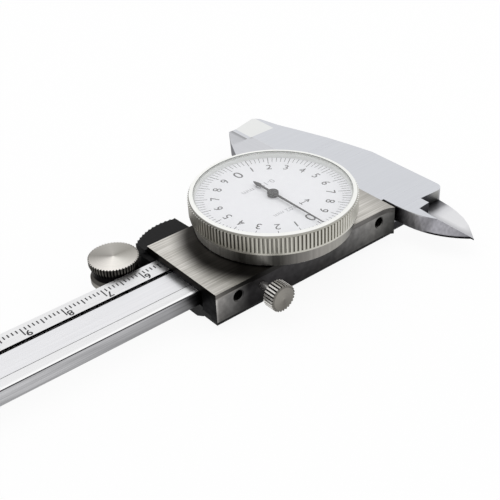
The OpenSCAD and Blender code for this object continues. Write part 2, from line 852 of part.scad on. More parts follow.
module lock_screw() {
    reach = near_wall + lock_neck;
    tip = 0.1;
    bevel = 0.25;
    crown = 0.1;
    face_d = lock_head_d - 2 * lock_groove;
    color(warm_grey)
        translate([lock_x, channel_near, lock_z])
            rotate([-90, 0, 0]) {
                translate([0, 0, tip]) cylinder(d = lock_shank_d, h = reach);
                translate([0, 0, reach])
                    cylinder(d1 = face_d - 2 * bevel, d2 = face_d, h = bevel);
                translate([0, 0, reach + bevel])
                    linear_extrude(lock_head_l - 2 * bevel - crown)
                        polygon(knurl_points(lock_head_d, lock_knurls, lock_groove));
                translate([0, 0, reach + lock_head_l - bevel - crown])
                    cylinder(d1 = face_d, d2 = face_d - 2 * bevel, h = bevel);
                translate([0, 0, reach + lock_head_l - crown])
                    cylinder(d1 = face_d - 2 * bevel, d2 = 4 * crown, h = crown);
            }
}

// Dial case and movement

module case_screw_places() {
    for (x = [dial_x - case_screw_dx, dial_x + case_screw_dx], y = case_screw_ys)
        translate([x, y, base_z]) children();
}

module case_holes() {
    case_screw_places() sunk_hole(small_screw_d, base_z - 2.1, 2.6);
}

module pillar_places() {
    for (a = pillar_angles)
        translate([dial_x + pillar_r * cos(a), dial_y + pillar_r * sin(a), 0]) children();
}

module pillar_holes() {
    pillar_places() translate([0, 0, case_z + 0.2]) cylinder(d = 1.3, h = bridge_z);
}

module at_dial(z) {
    translate([dial_x, dial_y, z]) children();
}

module at_arbor(z) {
    translate([arbor_x, slot_y, z]) children();
}

module dial_case() {
    wall = 1.1;
    bevel = 0.3;
    color(dark_satin)
        difference() {
            at_dial(0)
                rotate_extrude()
                    polygon([[0, case_z], [case_d / 2 - bevel, case_z], [case_d / 2, case_z + bevel],
                             [case_d / 2, case_z + case_h], [neck_d / 2, case_z + case_h],
                             [neck_d / 2, wire_z - wire_groove_h / 2],
                             [neck_d / 2 - 0.4, wire_z - wire_groove_h / 2],
                             [neck_d / 2 - 0.4, wire_z + wire_groove_h / 2],
                             [neck_d / 2, wire_z + wire_groove_h / 2], [neck_d / 2, neck_top],
                             [neck_d / 2 - wall, neck_top], [neck_d / 2 - wall, base_z],
                             [0, base_z]]);
            case_holes();
            pillar_holes();
            at_arbor(case_z - overcut) cylinder(d = bush_d + 2 * fit, h = floor_t + 2 * overcut);
        }
}

module case_screws() {
    color(dark_satin) case_screw_places() sunk_screw(small_screw_d, base_z - 2.2, 2.6);
}

module bezel_ring() {
    color(bright)
        at_dial(wire_z)
            rotate([0, 0, 100])
                rotate_extrude(angle = 340)
                    translate([(bore_d + neck_d) / 4 - 0.05, 0]) circle(d = wire_d, $fn = 24);
}

module arbor_bush() {
    color(brass)
        at_arbor(web_z + 0.05)
            difference() {
                cylinder(d = bush_d, h = base_z - web_z - 0.05);
                translate([0, 0, -overcut]) cylinder(d = arbor_d + 0.1, h = base_z);
            }
}

// Movement plate: a disc with three lobes for the pillars
module movement_outline() {
    circle(r = 9.5);
    for (a = pillar_angles)
        rotate(a) {
            translate([8, -2.2]) square([pillar_r - 8, 4.4]);
            translate([pillar_r, 0]) circle(r = 2.2);
        }
}

module movement_base() {
    color(brass)
        difference() {
            at_dial(base_z) linear_extrude(base_t) movement_outline();
            pillar_holes();
            at_arbor(base_z - overcut) cylinder(d = arbor_d + 0.4, h = base_t + 2 * overcut);
            at_dial(base_z - overcut) cylinder(d = stem_d + 0.1, h = base_t + 2 * overcut);
        }
}

module movement_pillars() {
    color(brass)
        difference() {
            pillar_places()
                translate([0, 0, base_z + base_t]) cylinder(r = 1.4, h = bridge_z - base_z - base_t);
            pillar_holes();
        }
}

module movement_bridge() {
    color(brass)
        difference() {
            at_dial(bridge_z) linear_extrude(bridge_t) movement_outline();
            pillar_places() translate([0, 0, bridge_z - overcut]) cylinder(d = 1.3, h = 3);
            at_arbor(bridge_z - overcut) cylinder(d = stem_d + 0.1, h = bridge_t + 2 * overcut);
            at_dial(bridge_z - overcut) cylinder(d = 1, h = bridge_t + 2 * overcut);
        }
}

module bridge_screws() {
    color(dark_satin)
        pillar_places()
            translate([0, 0, bridge_z + bridge_t])
                flat_screw(1.2, bridge_z + bridge_t - case_z - 0.3, 2.4, 0.4);
}

// Drive arbor: the pinion reaches through the slot and turns on the rack
module drive_arbor() {
    color(brass)
        at_arbor(0) {
            translate([0, 0, groove_floor + 0.1])
                linear_extrude(rack_t - 0.2)
                    rotate(90) polygon(gear_points(drive_teeth, drive_module));
            translate([0, 0, rack_top - 0.1 - skin]) cylinder(d = stem_d, h = web_z - rack_top + 0.3);
            translate([0, 0, web_z + 0.15])
                cylinder(d = arbor_d, h = bridge_z - web_z - 0.3);
            translate([0, 0, bridge_z - 0.2]) cylinder(d = stem_d, h = bridge_t + 0.1);
        }
}

module wheel(z) {
    at_arbor(z)
        linear_extrude(wheel_t)
            difference() {
                rotate(mesh_angle) polygon(gear_points(wheel_teeth, wheel_module));
                circle(d = arbor_d + 0.04);
                for (a = [45:90:315]) rotate(a) translate([2.5, 0]) circle(r = 1.05);
            }
}

module drive_wheel() {
    color(brass) wheel(wheel_z);
}

module take_up_wheel() {
    color(brass) wheel(wheel_z + wheel_t + wheel_gap);
}

module take_up_spring() {
    color(bright)
        at_arbor(wheel_z + wheel_t + wheel_gap / 2)
            rotate_extrude(angle = 320) translate([3.8, 0]) circle(d = 0.3, $fn = 24);
}

module centre_pinion() {
    color(bright)
        at_dial(0) {
            translate([0, 0, leaf_z])
                linear_extrude(leaf_h)
                    rotate(mesh_angle + 180 / centre_teeth)
                        polygon(gear_points(centre_teeth, wheel_module));
            translate([0, 0, base_z + 0.05]) cylinder(d = stem_d, h = leaf_z - base_z);
            translate([0, 0, leaf_z + leaf_h - skin])
                cylinder(d = 0.9, h = needle_z + needle_t - leaf_z - leaf_h);
        }
}

module needle() {
    hub_low = dial_z + dial_t + 0.08;
    cap_d = hub_d - 0.1;
    waist_d = 1.7;
    color(black)
        at_dial(0)
            difference() {
                union() {
                    translate([0, 0, hub_low]) cylinder(d = cap_d, h = 0.3);
                    translate([0, 0, hub_low]) cylinder(d = waist_d, h = needle_z - hub_low);
                    translate([0, 0, needle_z - 0.1]) cylinder(d = hub_d, h = 0.5);
                    translate([0, 0, needle_z + 0.4]) cylinder(d1 = hub_d, d2 = hub_d - 0.3, h = 0.1);
                    translate([0, 0, needle_z])
                        linear_extrude(needle_t)
                            polygon([[-0.07, needle_l], [-0.3, 0], [-0.24, -needle_tail + 3],
                                     [-0.62, -needle_tail + 2], [-0.3, -needle_tail + 0.7],
                                     [0, -needle_tail], [0.3, -needle_tail + 0.7],
                                     [0.62, -needle_tail + 2],
                                     [0.24, -needle_tail + 3], [0.3, 0], [0.07, needle_l]]);
                }
                translate([0, 0, hub_low - overcut])
                    cylinder(d = 0.94, h = needle_z + needle_t + fit - hub_low + overcut);
            }
}

// Bezel with what turns in it

module bezel() {
    lip = 0.45;
    knurl_top = bezel_top - 0.7;
    rim_r = 0.5;
    rim_d = bezel_d - 0.44;
    color(ivory)
        at_dial(0)
            difference() {
                union() {
                    translate([0, 0, bezel_z + lip])
                        linear_extrude(knurl_top - bezel_z - lip)
                            polygon(knurl_points(bezel_d, bezel_knurls, bezel_groove));
                    translate([0, 0, bezel_z]) cylinder(d = bezel_d - 0.2, h = lip);
                    translate([0, 0, knurl_top])
                        cylinder(d = rim_d, h = bezel_top - rim_r - knurl_top);
                    rotate_extrude()
                        translate([rim_d / 2 - rim_r, bezel_top - rim_r])
                            intersection() {
                                circle(r = rim_r, $fn = 48);
                                square(rim_r);
                            }
                    translate([0, 0, bezel_top - rim_r])
                        cylinder(d = rim_d - 2 * rim_r, h = rim_r);
                }
                translate([0, 0, bezel_z - overcut])
                    cylinder(d = bore_d - 0.2, h = ledge_z - bezel_z + overcut);
                translate([0, 0, wire_z - wire_groove_h / 2])
                    cylinder(d = bore_d + 0.7, h = wire_groove_h);
                translate([0, 0, ledge_z - skin]) cylinder(d = bore_d - 1.4, h = 1);
                translate([0, 0, dial_z]) cylinder(d = bore_d, h = bezel_h);
            }
}

module dial_face() {
    color(white)
        at_dial(dial_z)
            difference() {
                cylinder(d = bore_d - 0.04, h = dial_t);
                translate([0, 0, -overcut]) cylinder(d = 2, h = dial_t + 2 * overcut);
            }
}

module crystal_spacer() {
    z = dial_z + dial_t;
    color(white)
        at_dial(z)
            difference() {
                cylinder(d = bore_d - 0.04, h = crystal_z - z);
                translate([0, 0, -overcut]) cylinder(d = bore_d - 0.7, h = crystal_z);
            }
}

module crystal() {
    color(white, 0.3) at_dial(crystal_z) cylinder(d = bore_d - 0.04, h = crystal_t);
}

beam();
rack();
rack_cover();
end_stop();
end_stop_screws();
slider();
top_plate();
gib();
gib_screws();
back_cover();
back_cover_screws();
depth_rod();
depth_rod_screws();
thumb_rest();
thumb_rest_screws();
dial_case();
case_screws();
bezel_ring();
arbor_bush();
movement_base();
movement_pillars();
movement_bridge();
bridge_screws();
drive_arbor();
drive_wheel();
take_up_wheel();
take_up_spring();
centre_pinion();
needle();
bezel();
dial_face();
crystal_spacer();
crystal();
thumb_roller();
roller_screw();
lock_screw();
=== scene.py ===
# %% [markdown]
# This file dresses a dial caliper in Blender. The steel, brass and plastic pieces come from a
# finished construction model, so their shapes stay as they are. What is added here is what a
# construction model leaves out: the printed dial, the engraved scale and the finish of each surface.

# %% Load the model
import math

import bpy
from mathutils import Matrix, Vector


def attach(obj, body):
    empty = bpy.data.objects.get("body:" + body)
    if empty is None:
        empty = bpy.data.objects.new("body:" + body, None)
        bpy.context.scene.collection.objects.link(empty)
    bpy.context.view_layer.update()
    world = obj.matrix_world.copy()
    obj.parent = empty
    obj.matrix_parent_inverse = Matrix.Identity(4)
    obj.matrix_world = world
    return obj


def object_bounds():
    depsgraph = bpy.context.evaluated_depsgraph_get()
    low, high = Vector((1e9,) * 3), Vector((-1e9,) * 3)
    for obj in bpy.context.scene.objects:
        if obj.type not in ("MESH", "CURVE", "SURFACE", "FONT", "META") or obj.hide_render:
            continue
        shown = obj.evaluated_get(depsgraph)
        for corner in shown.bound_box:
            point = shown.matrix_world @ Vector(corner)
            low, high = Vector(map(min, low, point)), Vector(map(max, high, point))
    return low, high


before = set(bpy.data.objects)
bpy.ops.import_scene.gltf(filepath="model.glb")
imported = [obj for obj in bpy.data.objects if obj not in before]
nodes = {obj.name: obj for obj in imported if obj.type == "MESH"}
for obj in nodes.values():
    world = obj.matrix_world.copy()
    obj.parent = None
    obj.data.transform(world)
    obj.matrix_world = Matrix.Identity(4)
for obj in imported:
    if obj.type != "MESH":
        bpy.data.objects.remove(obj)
MM = 0.001
model_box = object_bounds()
print("model size in mm:", [round((b - a) / MM, 1) for a, b in zip(*model_box)])

# %% [markdown]
# The camera stands where the photographer stood: about 26 cm away, above the lock screw's side,
# looking back towards the jaws. A constraint could aim it at a point, but plain angles can be measured
# in the picture. The azimuth turns it from a look along +Y, the elevation is how steeply it looks
# down, and the roll is the picture's small tilt. The focal length comes from how fast the beam narrows.

# %% Camera
IMAGE_PX = 500
FOCAL_PX = 995.97
VIEW_AZIMUTH = 142.39
VIEW_ELEVATION = 33.98
VIEW_ROLL = -2.944
NEAREST_SEEN = 0.01
camera_place = Vector((151.86, 161.96, 131.89)) * MM

turn = (Matrix.Rotation(math.radians(VIEW_AZIMUTH), 4, "Z")
        @ Matrix.Rotation(math.radians(90 - VIEW_ELEVATION), 4, "X")
        @ Matrix.Rotation(math.radians(VIEW_ROLL), 4, "Z"))
lens = bpy.data.cameras.new("camera")
lens.sensor_width = 36
lens.lens = FOCAL_PX * lens.sensor_width / IMAGE_PX
lens.clip_start = NEAREST_SEEN
camera = bpy.data.objects.new("camera", lens)
camera.matrix_world = Matrix.Translation(camera_place) @ turn
bpy.context.scene.collection.objects.link(camera)
bpy.context.scene.camera = camera
print("camera right and up:", [[round(x, 3) for x in turn.col[k][:3]] for k in (0, 1)])

# %% [markdown]
# Colours are written as they look on a screen, as hex values. Blender's shaders want them linear, so
# one function turns a hex value into linear numbers. A material could be wired by hand in the node
# editor. Here another small function adds a node with its settings and its links, so that each
# material can be read from top to bottom.

# %% Colours and nodes
def linear(hex_colour):
    channels = [int(hex_colour[i:i + 2], 16) / 255 for i in (1, 3, 5)]
    return [c / 12.92 if c <= 0.04045 else ((c + 0.055) / 1.055) ** 2.4 for c in channels] + [1.0]


def add(tree, kind, settings=None, **links):
    """Adds a node. Settings are its own values, and links are sockets or fixed socket values."""
    node = tree.nodes.new(kind)
    for name, value in (settings or {}).items():
        setattr(node, name, value)
    for name, value in links.items():
        # A name such as _0 is the socket's number, for nodes whose sockets share a name
        socket = node.inputs[int(name[1:])] if name[0] == "_" else node.inputs[name.replace("_", " ")]
        if isinstance(value, bpy.types.NodeSocket):
            tree.links.new(value, socket)
        else:
            socket.default_value = value
    return node


def fresh_tree(owner):
    """Gives the emptied node tree of a material or of the world."""
    owner.use_nodes = True
    owner.node_tree.nodes.clear()
    return owner.node_tree


print("mid grey in linear numbers:", round(linear("#808080")[0], 3))

# %% [markdown]
# The studio is a white room. It could be built with walls, but the world's background does the same.
# A ray that the camera sends, or that metal or glass reflects or lets through, finds plain white
# there. Only the light that falls on matt surfaces is a little weaker, so that the lamps can still
# draw soft shadows.

# %% World
MATT_LEVEL = 0.72


def plainly_seen(tree):
    """Is 1 for what the camera sees, also in metal or through glass, and 0 for light on matt faces."""
    path = add(tree, "ShaderNodeLightPath")
    seen = path.outputs["Is Camera Ray"]
    for ray in ("Is Transmission Ray", "Is Glossy Ray"):
        seen = add(tree, "ShaderNodeMath", {"operation": "MAXIMUM"},
                   _0=seen, _1=path.outputs[ray]).outputs[0]
    return seen


world = bpy.data.worlds.new("white_studio")
bpy.context.scene.world = world
tree = fresh_tree(world)
level = add(tree, "ShaderNodeMapRange", None,
            Value=plainly_seen(tree), To_Min=MATT_LEVEL, To_Max=1.0)
shine = add(tree, "ShaderNodeBackground", None, Color=(1, 1, 1, 1), Strength=level.outputs[0])
add(tree, "ShaderNodeOutputWorld", None, Surface=shine.outputs[0])
print("matt surfaces get", MATT_LEVEL, "of the room's white")

# %% [markdown]
# The caliper lies on a sheet of white card that runs out of sight. Lit by lamps alone, the card would
# turn grey in places and stand out from the room. So for the camera and for reflections most of its
# white comes from a glow, and it melts into the room. The rest is matt card, which keeps the soft
# shadow that ties the object to the table.

# %% Table
TABLE_SIZE = 4
TABLE_X = 0.1
TABLE_GLOW = 0.92
FLOOR_GAP = 0.02 * MM
bpy.ops.object.select_all(action="DESELECT")
bpy.ops.mesh.primitive_plane_add(size=TABLE_SIZE, location=(TABLE_X, 0, model_box[0].z - FLOOR_GAP))
table = bpy.context.object
table.name = "floor"
card_white = bpy.data.materials.new("white_card")
tree = fresh_tree(card_white)
card = add(tree, "ShaderNodeBsdfDiffuse", None, Color=linear("#fcfcfc"))
glow = add(tree, "ShaderNodeEmission", None, Color=(1, 1, 1, 1), Strength=1.0)
share = add(tree, "ShaderNodeMath", {"operation": "MULTIPLY"}, _0=plainly_seen(tree), _1=TABLE_GLOW)
both = add(tree, "ShaderNodeMixShader", None,
           Fac=share.outputs[0], _1=card.outputs[0], _2=glow.outputs[0])
add(tree, "ShaderNodeOutputMaterial", None, Surface=both.outputs[0])
table.data.materials.append(card_white)
print("the table lies at", round(table.location.z / MM, 2), "mm")

# %% [markdown]
# Two softboxes light the table as for a catalogue picture: a large one overhead, a little behind
# the object, and a weak one on the jaw's side that opens up the shadows. They light matt surfaces
# only. Metal mirrors the white room alone, because a softbox would add its own light to the room's
# there, and bare steel would turn white in a view from above.

# %% Lamps
def softbox(name, place_mm, aim_mm, size_mm, power):
    """Hangs a softbox at its place and turns it to its aim."""
    light = bpy.data.lights.new(name, "AREA")
    light.shape = "RECTANGLE"
    light.size, light.size_y = (side * MM for side in size_mm)
    light.energy = power
    holder = bpy.data.objects.new(name, light)
    bpy.context.scene.collection.objects.link(holder)
    place = Vector(place_mm) * MM
    aim = Vector(aim_mm) * MM
    holder.location = place
    holder.rotation_mode = "QUATERNION"
    holder.rotation_quaternion = (aim - place).to_track_quat("-Z", "Y")
    holder.visible_glossy = False
    print(name, "gives", power, "W")


softbox("softbox_above", (-20, -120, 450), (50, 0, 0), (500, 382), 0.6)
softbox("softbox_side", (-260, 240, 260), (30, 10, 0), (250, 250), 0.18)

# %% [markdown]
# Every metal here was ground, brushed or turned, and each of these leaves fine lines. A picture of
# such lines could be laid on, but it would stretch round corners. So they are noise stretched along
# one axis: it tints the metal a little, changes how matt it is and lifts the surface by up to 0.02 mm.
# Real grinding lines are about 0.05 mm apart, which no pixel of the picture could show, so they are
# drawn 0.3 to 0.5 mm apart. The colours differ from face to face, so each piece brings its own small
# function that paints it.

# %% Metal with fine lines
LINE_STRETCH = 60
NOISE_DETAIL = 3.0
RELIEF = 0.02 * MM
# The axes that lines run along, where 0 is x. Rings round an upright axis run along two of them
ALONG_X = (0,)
ALONG_Y = (1,)
ALONG_Z = (2,)
RINGS = (0, 1)


def lined_metal(name, paint, roughness, grain=ALONG_X, grain_mm=0.3, depth=0.3, **extra):
    """Makes a metal whose lines run along the grain, and whose paint gives its colour."""
    material = bpy.data.materials.new(name)
    tree = fresh_tree(material)
    place = add(tree, "ShaderNodeTexCoord")
    scale = [1 / (grain_mm * MM)] * 3
    for axis in grain:
        scale[axis] /= LINE_STRETCH
    stretched = add(tree, "ShaderNodeMapping", None, Vector=place.outputs["Object"], Scale=scale)
    noise = add(tree, "ShaderNodeTexNoise", None,
                Vector=stretched.outputs[0], Scale=1.0, Detail=NOISE_DETAIL)
    lines = noise.outputs["Fac"]
    tint = paint(tree, place, lines)
    # The lines make the metal up to a fifth more or less matt
    matt = add(tree, "ShaderNodeMapRange", None, Value=lines,
               To_Min=roughness * 0.8, To_Max=roughness * 1.2)
    relief = add(tree, "ShaderNodeBump", None, Height=lines, Strength=depth, Distance=RELIEF)
    metal = add(tree, "ShaderNodeBsdfPrincipled", None, Base_Color=tint, Metallic=1.0,
                Roughness=matt.outputs[0], Normal=relief.outputs[0], **extra)
    add(tree, "ShaderNodeOutputMaterial", None, Surface=metal.outputs[0])
    return material


def dress(material, *names):
    """Gives pieces of the construction model their finish."""
    for name in names:
        nodes[name].data.materials.clear()
        nodes[name].data.materials.append(material)
    print(material.name, "on", ", ".join(names))


# %% [markdown]
# A paint starts from one colour and lays coats over it. A coat shows only between two limits, such
# as from one place to another along the beam, or on faces that look a certain way, and it fades in
# from the first limit to the second. Where wear or painted light and shade change little by little, a
# ramp blends through a short list of places with a colour at each. Separate materials for separate
# faces would need no limits, but wear, oil stains and painted shade have no hard borders.

# %% Paints
# From the first number to the second, a face changes from a wall to a flat top or bottom
FLAT = (0.55, 0.75)
# And here from a face that looks elsewhere to one that looks the given way
FACING = (0.5, 0.8)
# Most values of a noise lie between these two
MIDDLE = (0.3, 0.7)


def whereabouts(tree, place):
    """Gives a point's place in mm and the way its face looks. level is 1 on flat tops, 0 on walls."""
    in_mm = add(tree, "ShaderNodeVectorMath", {"operation": "SCALE"},
                _0=place.outputs["Object"], Scale=1 / MM)
    spot = add(tree, "ShaderNodeSeparateXYZ", None, Vector=in_mm.outputs[0]).outputs
    look = add(tree, "ShaderNodeSeparateXYZ", None, Vector=place.outputs["Normal"]).outputs
    level = add(tree, "ShaderNodeMath", {"operation": "ABSOLUTE"}, _0=look["Z"]).outputs[0]
    return {"x": spot["X"], "y": spot["Y"], "z": spot["Z"],
            "look_x": look["X"], "look_y": look["Y"], "level": level}


def painted(tree, base, *coats):
    """Lays coats over a base. A coat is (colour, limits, ...), and limits are (value, start, end)."""
    for colour, *all_limits in coats:
        share = 1.0
        for value, start, end in all_limits:
            inside = add(tree, "ShaderNodeMapRange", None, Value=value, From_Min=start, From_Max=end)
            share = add(tree, "ShaderNodeMath", {"operation": "MULTIPLY"},
                        _0=inside.outputs[0], _1=share).outputs[0]
        # A Mix node takes its two colours at sockets 6 and 7 and gives the blend at output 2
        base = add(tree, "ShaderNodeMix", {"data_type": "RGBA"},
                   Factor=share, _6=base, _7=colour).outputs[2]
    return base


def along(tree, value, *stops):
    """Blends through stops, each (place, colour), as value goes from the first to the last."""
    first = stops[0][0]
    last = stops[-1][0]
    share = add(tree, "ShaderNodeMapRange", None, Value=value, From_Min=first, From_Max=last)
    ramp = add(tree, "ShaderNodeValToRGB", None, Fac=share.outputs[0])
    ramp.color_ramp.elements[0].color = linear(stops[0][1])
    ramp.color_ramp.elements[1].color = linear(stops[-1][1])
    for place, colour in stops[1:-1]:
        ramp.color_ramp.elements.new((place - first) / (last - first)).color = linear(colour)
    return ramp.outputs["Color"]


def toned(tree, colour, value, start, end, least, most):
    """Makes a colour least times as bright at start and most times at end."""
    gain = add(tree, "ShaderNodeMapRange", None, Value=value,
               From_Min=start, From_Max=end, To_Min=least, To_Max=most)
    return add(tree, "ShaderNodeVectorMath", {"operation": "SCALE"},
               _0=colour, Scale=gain.outputs[0]).outputs[0]


def two_tone(dark, light):
    """A paint that is the same on all faces: the lines run between two colours."""
    def paint(tree, place, lines):
        return painted(tree, linear(dark), (linear(light), (lines, 0, 1)))
    return paint


# %% [markdown]
# The beam and the fixed jaw are one piece of stainless steel, so they get one material that changes
# with the place. It starts with the bar. Its top carries the scale and is satin chromed, almost white
# and only faintly lined. Its side was milled and is a little darker. Where the slider ends, the side
# is painted dark: partly an oil stain that the slider leaves, and partly a painted shadow of the slider.

# %% Top and side of the bar
def bar_top_paint(tree, at, lines):
    # A stone has broken the bar's sharp edge. Its bevel is painted with a white strip, a painted
    # highlight, and a dark hairline of painted shade along it
    return painted(tree, linear("#dededf"),
                   (linear("#f4f4f5"), (lines, 0, 1)),
                   (linear("#ffffff"), (at["y"], 15.1, 15.5)),
                   (linear("#3a3a3c"), (at["y"], 15.68, 15.76), (at["x"], 30, 31)))


def bar_side_paint(tree, at, lines):
    # Painted dark where the slider ends, partly its oil stain and partly the slider's painted shadow
    side = along(tree, at["x"], (0, "#a2a2a4"), (46, "#939395"), (52, "#2c2c2d"), (54, "#2c2c2d"),
                 (57, "#6a6a6b"), (62, "#939395"), (75, "#a2a2a4"), (92, "#b2b2b4"), (216, "#b8b8ba"))
    # The side is painted lighter towards its top, as painted light
    side = toned(tree, side, at["z"], 0.5, 3.5, 0.95, 1.3)
    side = toned(tree, side, lines, *MIDDLE, 0.72, 1.2)
    # The wall of the slot beside the scale is painted black under its rim, a painted shade, and bright
    # towards its foot
    slot_wall = ((at["y"], 4.4, 4.6), (at["y"], 6.4, 6.2))
    return painted(tree, side,
                   (linear("#f0f0f2"), *slot_wall),
                   (linear("#0b0b0c"), *slot_wall, (at["z"], 3.1, 3.35)))


# %% [markdown]
# The jaw is only ground, which leaves it a cooler grey than the bar, and the sloping facet at its thin
# tip is painted almost white, a painted highlight. The inside blade is thin too. Marks of the milling
# cutter stand upright on its side. Close to the slider that side is painted black, partly oil and partly
# the slider's painted shadow, and further out it has bands of painted light and shade. The marks are a
# second noise, stretched upwards.

# %% Fixed jaw and inside blade
CUTTER_MARK_MM = (0.6, 0.6, 12)


def jaw_top_paint(tree, at, lines):
    # The sloping facet of the thin tip is painted almost white, a painted highlight
    return painted(tree, linear("#c9cbd0"),
                   (linear("#d7d9de"), (lines, 0, 1)),
                   (linear("#e8e9e8"), (at["look_x"], 0.06, 0.14), (at["y"], -31.2, -31.8)))


def blade_side_paint(tree, place, at):
    upright = add(tree, "ShaderNodeMapping", None, Vector=place.outputs["Object"],
                  Scale=[1 / (size * MM) for size in CUTTER_MARK_MM])
    cutter = add(tree, "ShaderNodeTexNoise", None,
                 Vector=upright.outputs[0], Scale=1.0, Detail=NOISE_DETAIL)
    # Painted black close to the slider, partly oil and partly the slider's painted shadow, and further
    # out in bands of painted light and shade
    side = along(tree, at["y"], (-40, "#a5a4aa"), (8, "#97969b"), (17, "#0e0e10"), (19, "#0e0e10"),
                 (21.5, "#1e1d20"), (24, "#b4b3b8"), (28, "#97969b"), (30, "#807f83"), (32, "#a5a4aa"),
                 (36, "#9c9ba0"), (39, "#7f7e83"))
    side = toned(tree, side, cutter.outputs["Fac"], *MIDDLE, 0.84, 1.14)
    # A painted highlight lies along the upper edge near the root, and painted shade along the lower edge
    # near the tip
    return painted(tree, side,
                   (linear("#c9cacd"), (at["z"], 3.4, 3.55), (at["y"], 29.5, 27)),
                   (linear("#060607"), (at["z"], 1.05, 0.9), (at["y"], 29.5, 31)))


def jaw_side_paint(tree, at, blade_side):
    # The wall of the step beside the blade lies in shadow, more so towards its foot and the blade
    step_wall = along(tree, at["x"],
                      (-16.5, "#7a7a78"), (-14, "#656564"), (-11.5, "#3a3a3d"), (-9, "#222225"))
    step_wall = toned(tree, step_wall, at["z"], 0.6, 3.7, 0.35, 2.2)
    # Faces that look away from the slider are clean
    return painted(tree, blade_side, (step_wall, (at["look_y"], *FACING)),
                   (linear("#9c9ba0"), (at["look_x"], -0.1, -0.3)))


# %% [markdown]
# Now these paints become one. The jaws' measuring plane is at x = 0, so the bar's paints begin
# there. A pinion under the dial rolls on the rack, a toothed strip in a groove of the beam. A second
# strip closes the groove, and it has the same finish as the beam's top.

# %% Beam, strip, rod and rack
BAR_BEGINS = (-0.3, 0.3)


def beam_paint(tree, place, lines):
    at = whereabouts(tree, place)
    blade_side = blade_side_paint(tree, place, at)
    side = painted(tree, jaw_side_paint(tree, at, blade_side),
                   (bar_side_paint(tree, at, lines), (at["x"], *BAR_BEGINS)))
    top = painted(tree, jaw_top_paint(tree, at, lines),
                  (bar_top_paint(tree, at, lines), (at["x"], *BAR_BEGINS)))
    # The blade's flank tilts upwards near its tip, but it's painted as a side all the way
    return painted(tree, side, (top, (at["level"], *FLAT)),
                   (blade_side, (at["y"], 26, 28), (at["look_x"], 0.25, 0.4)))


dress(lined_metal("satin_chromed_and_ground_steel", beam_paint, 0.3, grain_mm=0.35, depth=0.12), "beam")
dress(lined_metal("satin_chromed_strip", two_tone("#dddde0", "#f3f3f5"), 0.3, depth=0.12), "rack_cover")
# Ground but not chromed, so a little greyer
dress(lined_metal("ground_steel_rod", two_tone("#aeafb3", "#cccdd1"), 0.32), "depth_rod", "end_stop")
# Almost black with old oil, with a dull shine on the teeth
dress(lined_metal("oiled_rack_steel", two_tone("#0c0c0d", "#1c1c1e"), 0.35), "rack")

# %% [markdown]
# The slider's frame is one casting with the sliding jaw and its inside blade. Its walls were bead
# blasted. Along the beam they are painted darkest under the dial's overhang, a painted shade, and
# lighter towards their ends and their top, as painted light, with a painted highlight on the corner.
# The end face is painted dark, as painted shade. The pits of the blasting are far finer than a pixel, so
# they are drawn as soft clouds about 1.6 mm wide.

# %% Walls of the slider's frame
# Blasted and blackened metal stays dull even where light grazes it
DULL_GRAZE = (0.55, 0.55, 0.55, 1)
GRIT_MM = 1.6


def frame_wall_paint(tree, place, at):
    noise = add(tree, "ShaderNodeTexNoise", None, Vector=place.outputs["Object"],
                Scale=1 / (GRIT_MM * MM), Detail=6.0)
    grit = noise.outputs["Fac"]
    # Painted shade under the dial's overhang, painted light towards the ends and a painted highlight on
    # the corner
    wall = along(tree, at["x"], (0.5, "#3a3a39"), (6.5, "#6e6d6b"), (12, "#636261"), (20, "#434242"),
                 (32, "#343334"), (37, "#2c2b2c"), (45, "#262526"),
                 (50, "#626160"), (53.5, "#777573"), (54.1, "#a5a3a0"))
    # Painted lighter towards the top, as painted light
    wall = toned(tree, wall, at["z"], -1, 4.5, 0.66, 1.75)
    wall = toned(tree, wall, grit, *MIDDLE, 0.74, 1.18)
    # The end face is painted dark, as painted shade
    end_face = toned(tree, linear("#1c1c1d")[:3], grit, *MIDDLE, 0.5, 1.6)
    return painted(tree, wall, (end_face, (at["look_x"], *FACING)))


# %% [markdown]
# The sliding jaw and its blade are ground like the fixed ones, with lines across the beam. On the
# casting they need no border of their own: the jaw lies beyond the frame's far wall, and the blade
# beyond the measuring plane, so two limits are enough to tell them from the frame.

# %% Ground jaw of the slider
def sliding_jaw_paint(tree, at, lines):
    # Beside the fixed jaw's tip the sliding jaw falls away, and its edge there is painted darker, as
    # painted shade along the seam
    jaw = painted(tree, linear("#cfd0d4"),
                  (linear("#dfe0e4"), (lines, 0, 1)),
                  (linear("#a8a9ac"), (at["x"], 1.5, 0.5), (at["y"], -30.5, -32.5)))
    # The blade's top is painted dark beside the step wall, as painted shade
    blade = along(tree, at["y"], (23, "#5c5c5f"), (24.8, "#8e8e91"), (25.7, "#c4c4c7"),
                  (26.6, "#dcdcdf"), (28.5, "#e7e7e9"), (35, "#e8e8ea"), (40, "#b9b9bb"))
    blade = painted(tree, blade, (linear("#c4c4c7"), (at["x"], -10.8, -9.2)))
    top = painted(tree, jaw, (blade, (at["x"], -0.5, -0.7), (at["y"], 22.3, 22.4)))
    # The blade's sides under the fixed jaw are painted dark, as painted shade
    sides = painted(tree, linear("#7f8085"), (linear("#2f2f31"), (at["y"], -3, 0)))
    return painted(tree, sides, (top, (at["level"], *FLAT)))


def slider_paint(tree, place, lines):
    at = whereabouts(tree, place)
    jaw = sliding_jaw_paint(tree, at, lines)
    return painted(tree, frame_wall_paint(tree, place, at),
                   (jaw, (at["y"], -3.5, -3.7)), (jaw, (at["x"], 0.68, 0.6)))


dress(lined_metal("blasted_frame_with_ground_jaw", slider_paint, 0.36, grain=ALONG_Y, depth=0.2,
                  Specular_Tint=DULL_GRAZE), "slider")

